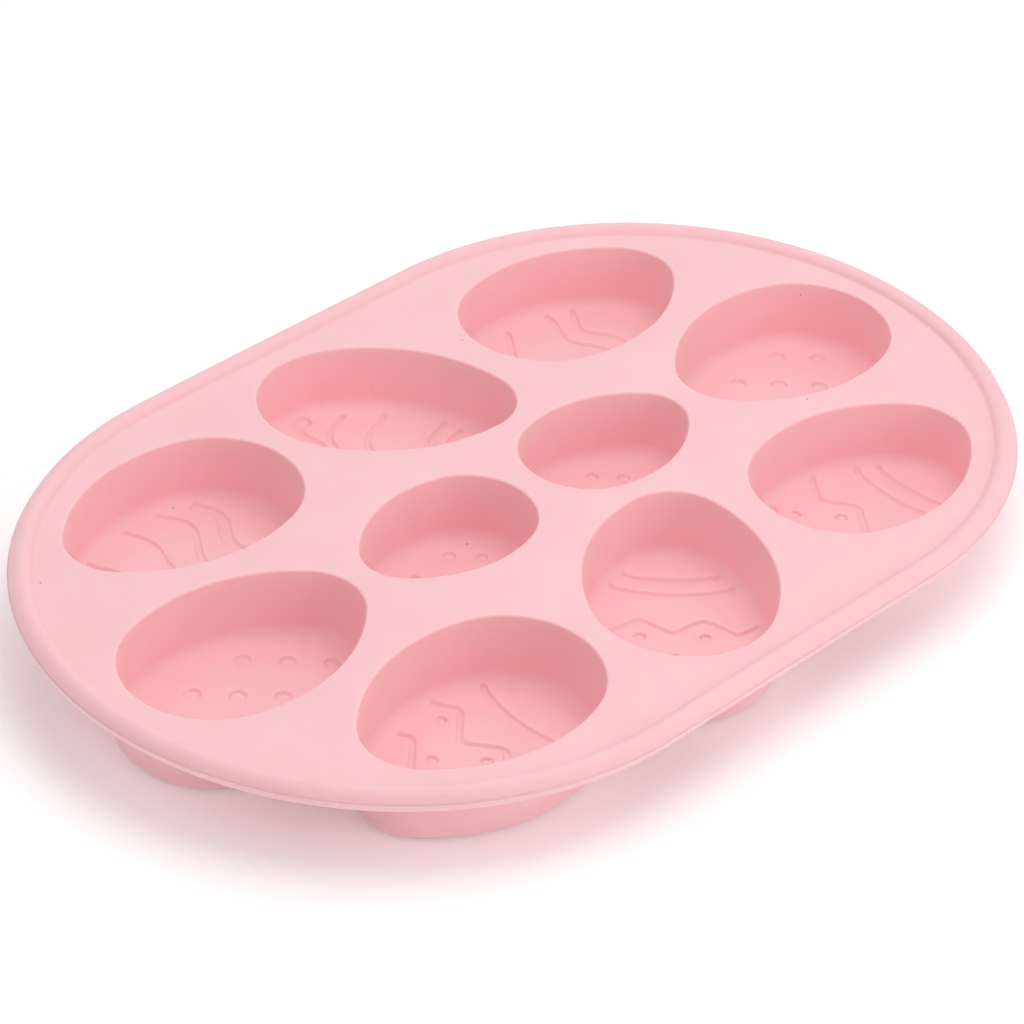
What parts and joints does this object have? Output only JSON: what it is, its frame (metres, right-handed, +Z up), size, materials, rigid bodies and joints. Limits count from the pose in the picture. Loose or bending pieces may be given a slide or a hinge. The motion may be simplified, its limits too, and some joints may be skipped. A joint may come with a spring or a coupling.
{
  "type": "silicone soap mould",
  "caption": "Flexible one-piece mould for decorated egg soaps: a flat deck with a round beaded rim over flat-bottomed egg-shaped cups with waves, dots and zigzags in their floors.",
  "frame": {"origin": "centre of the mould, on the surface it stands on (the underside of the pattern's ribs)", "axes": "+X along the tray towards the end the two turned middle eggs point to, +Y towards the row with the wave patterns, +Z up out of the cavities"},
  "size_m": [0.2626, 0.1738, 0.0228],
  "materials": {
    "pink_silicone": "satin, slightly translucent platinum-cured silicone"
  },
  "bodies": {
    "root": {"deck_sheet": "pink_silicone", "rim_bead": "pink_silicone", "cup_wall_back_left": "pink_silicone", "cup_wall_back_middle": "pink_silicone", "cup_wall_back_right": "pink_silicone", "cup_wall_end_left": "pink_silicone", "cup_wall_small_left": "pink_silicone", "cup_wall_small_right": "pink_silicone", "cup_wall_end_right": "pink_silicone", "cup_wall_front_left": "pink_silicone", "cup_wall_front_middle": "pink_silicone", "cup_wall_front_right": "pink_silicone", "cup_floor_back_left": "pink_silicone", "cup_floor_back_middle": "pink_silicone", "cup_floor_back_right": "pink_silicone", "cup_floor_end_left": "pink_silicone", "cup_floor_small_left": "pink_silicone", "cup_floor_small_right": "pink_silicone", "cup_floor_end_right": "pink_silicone", "cup_floor_front_left": "pink_silicone", "cup_floor_front_middle": "pink_silicone", "cup_floor_front_right": "pink_silicone"}
  },
  "joints": []
}
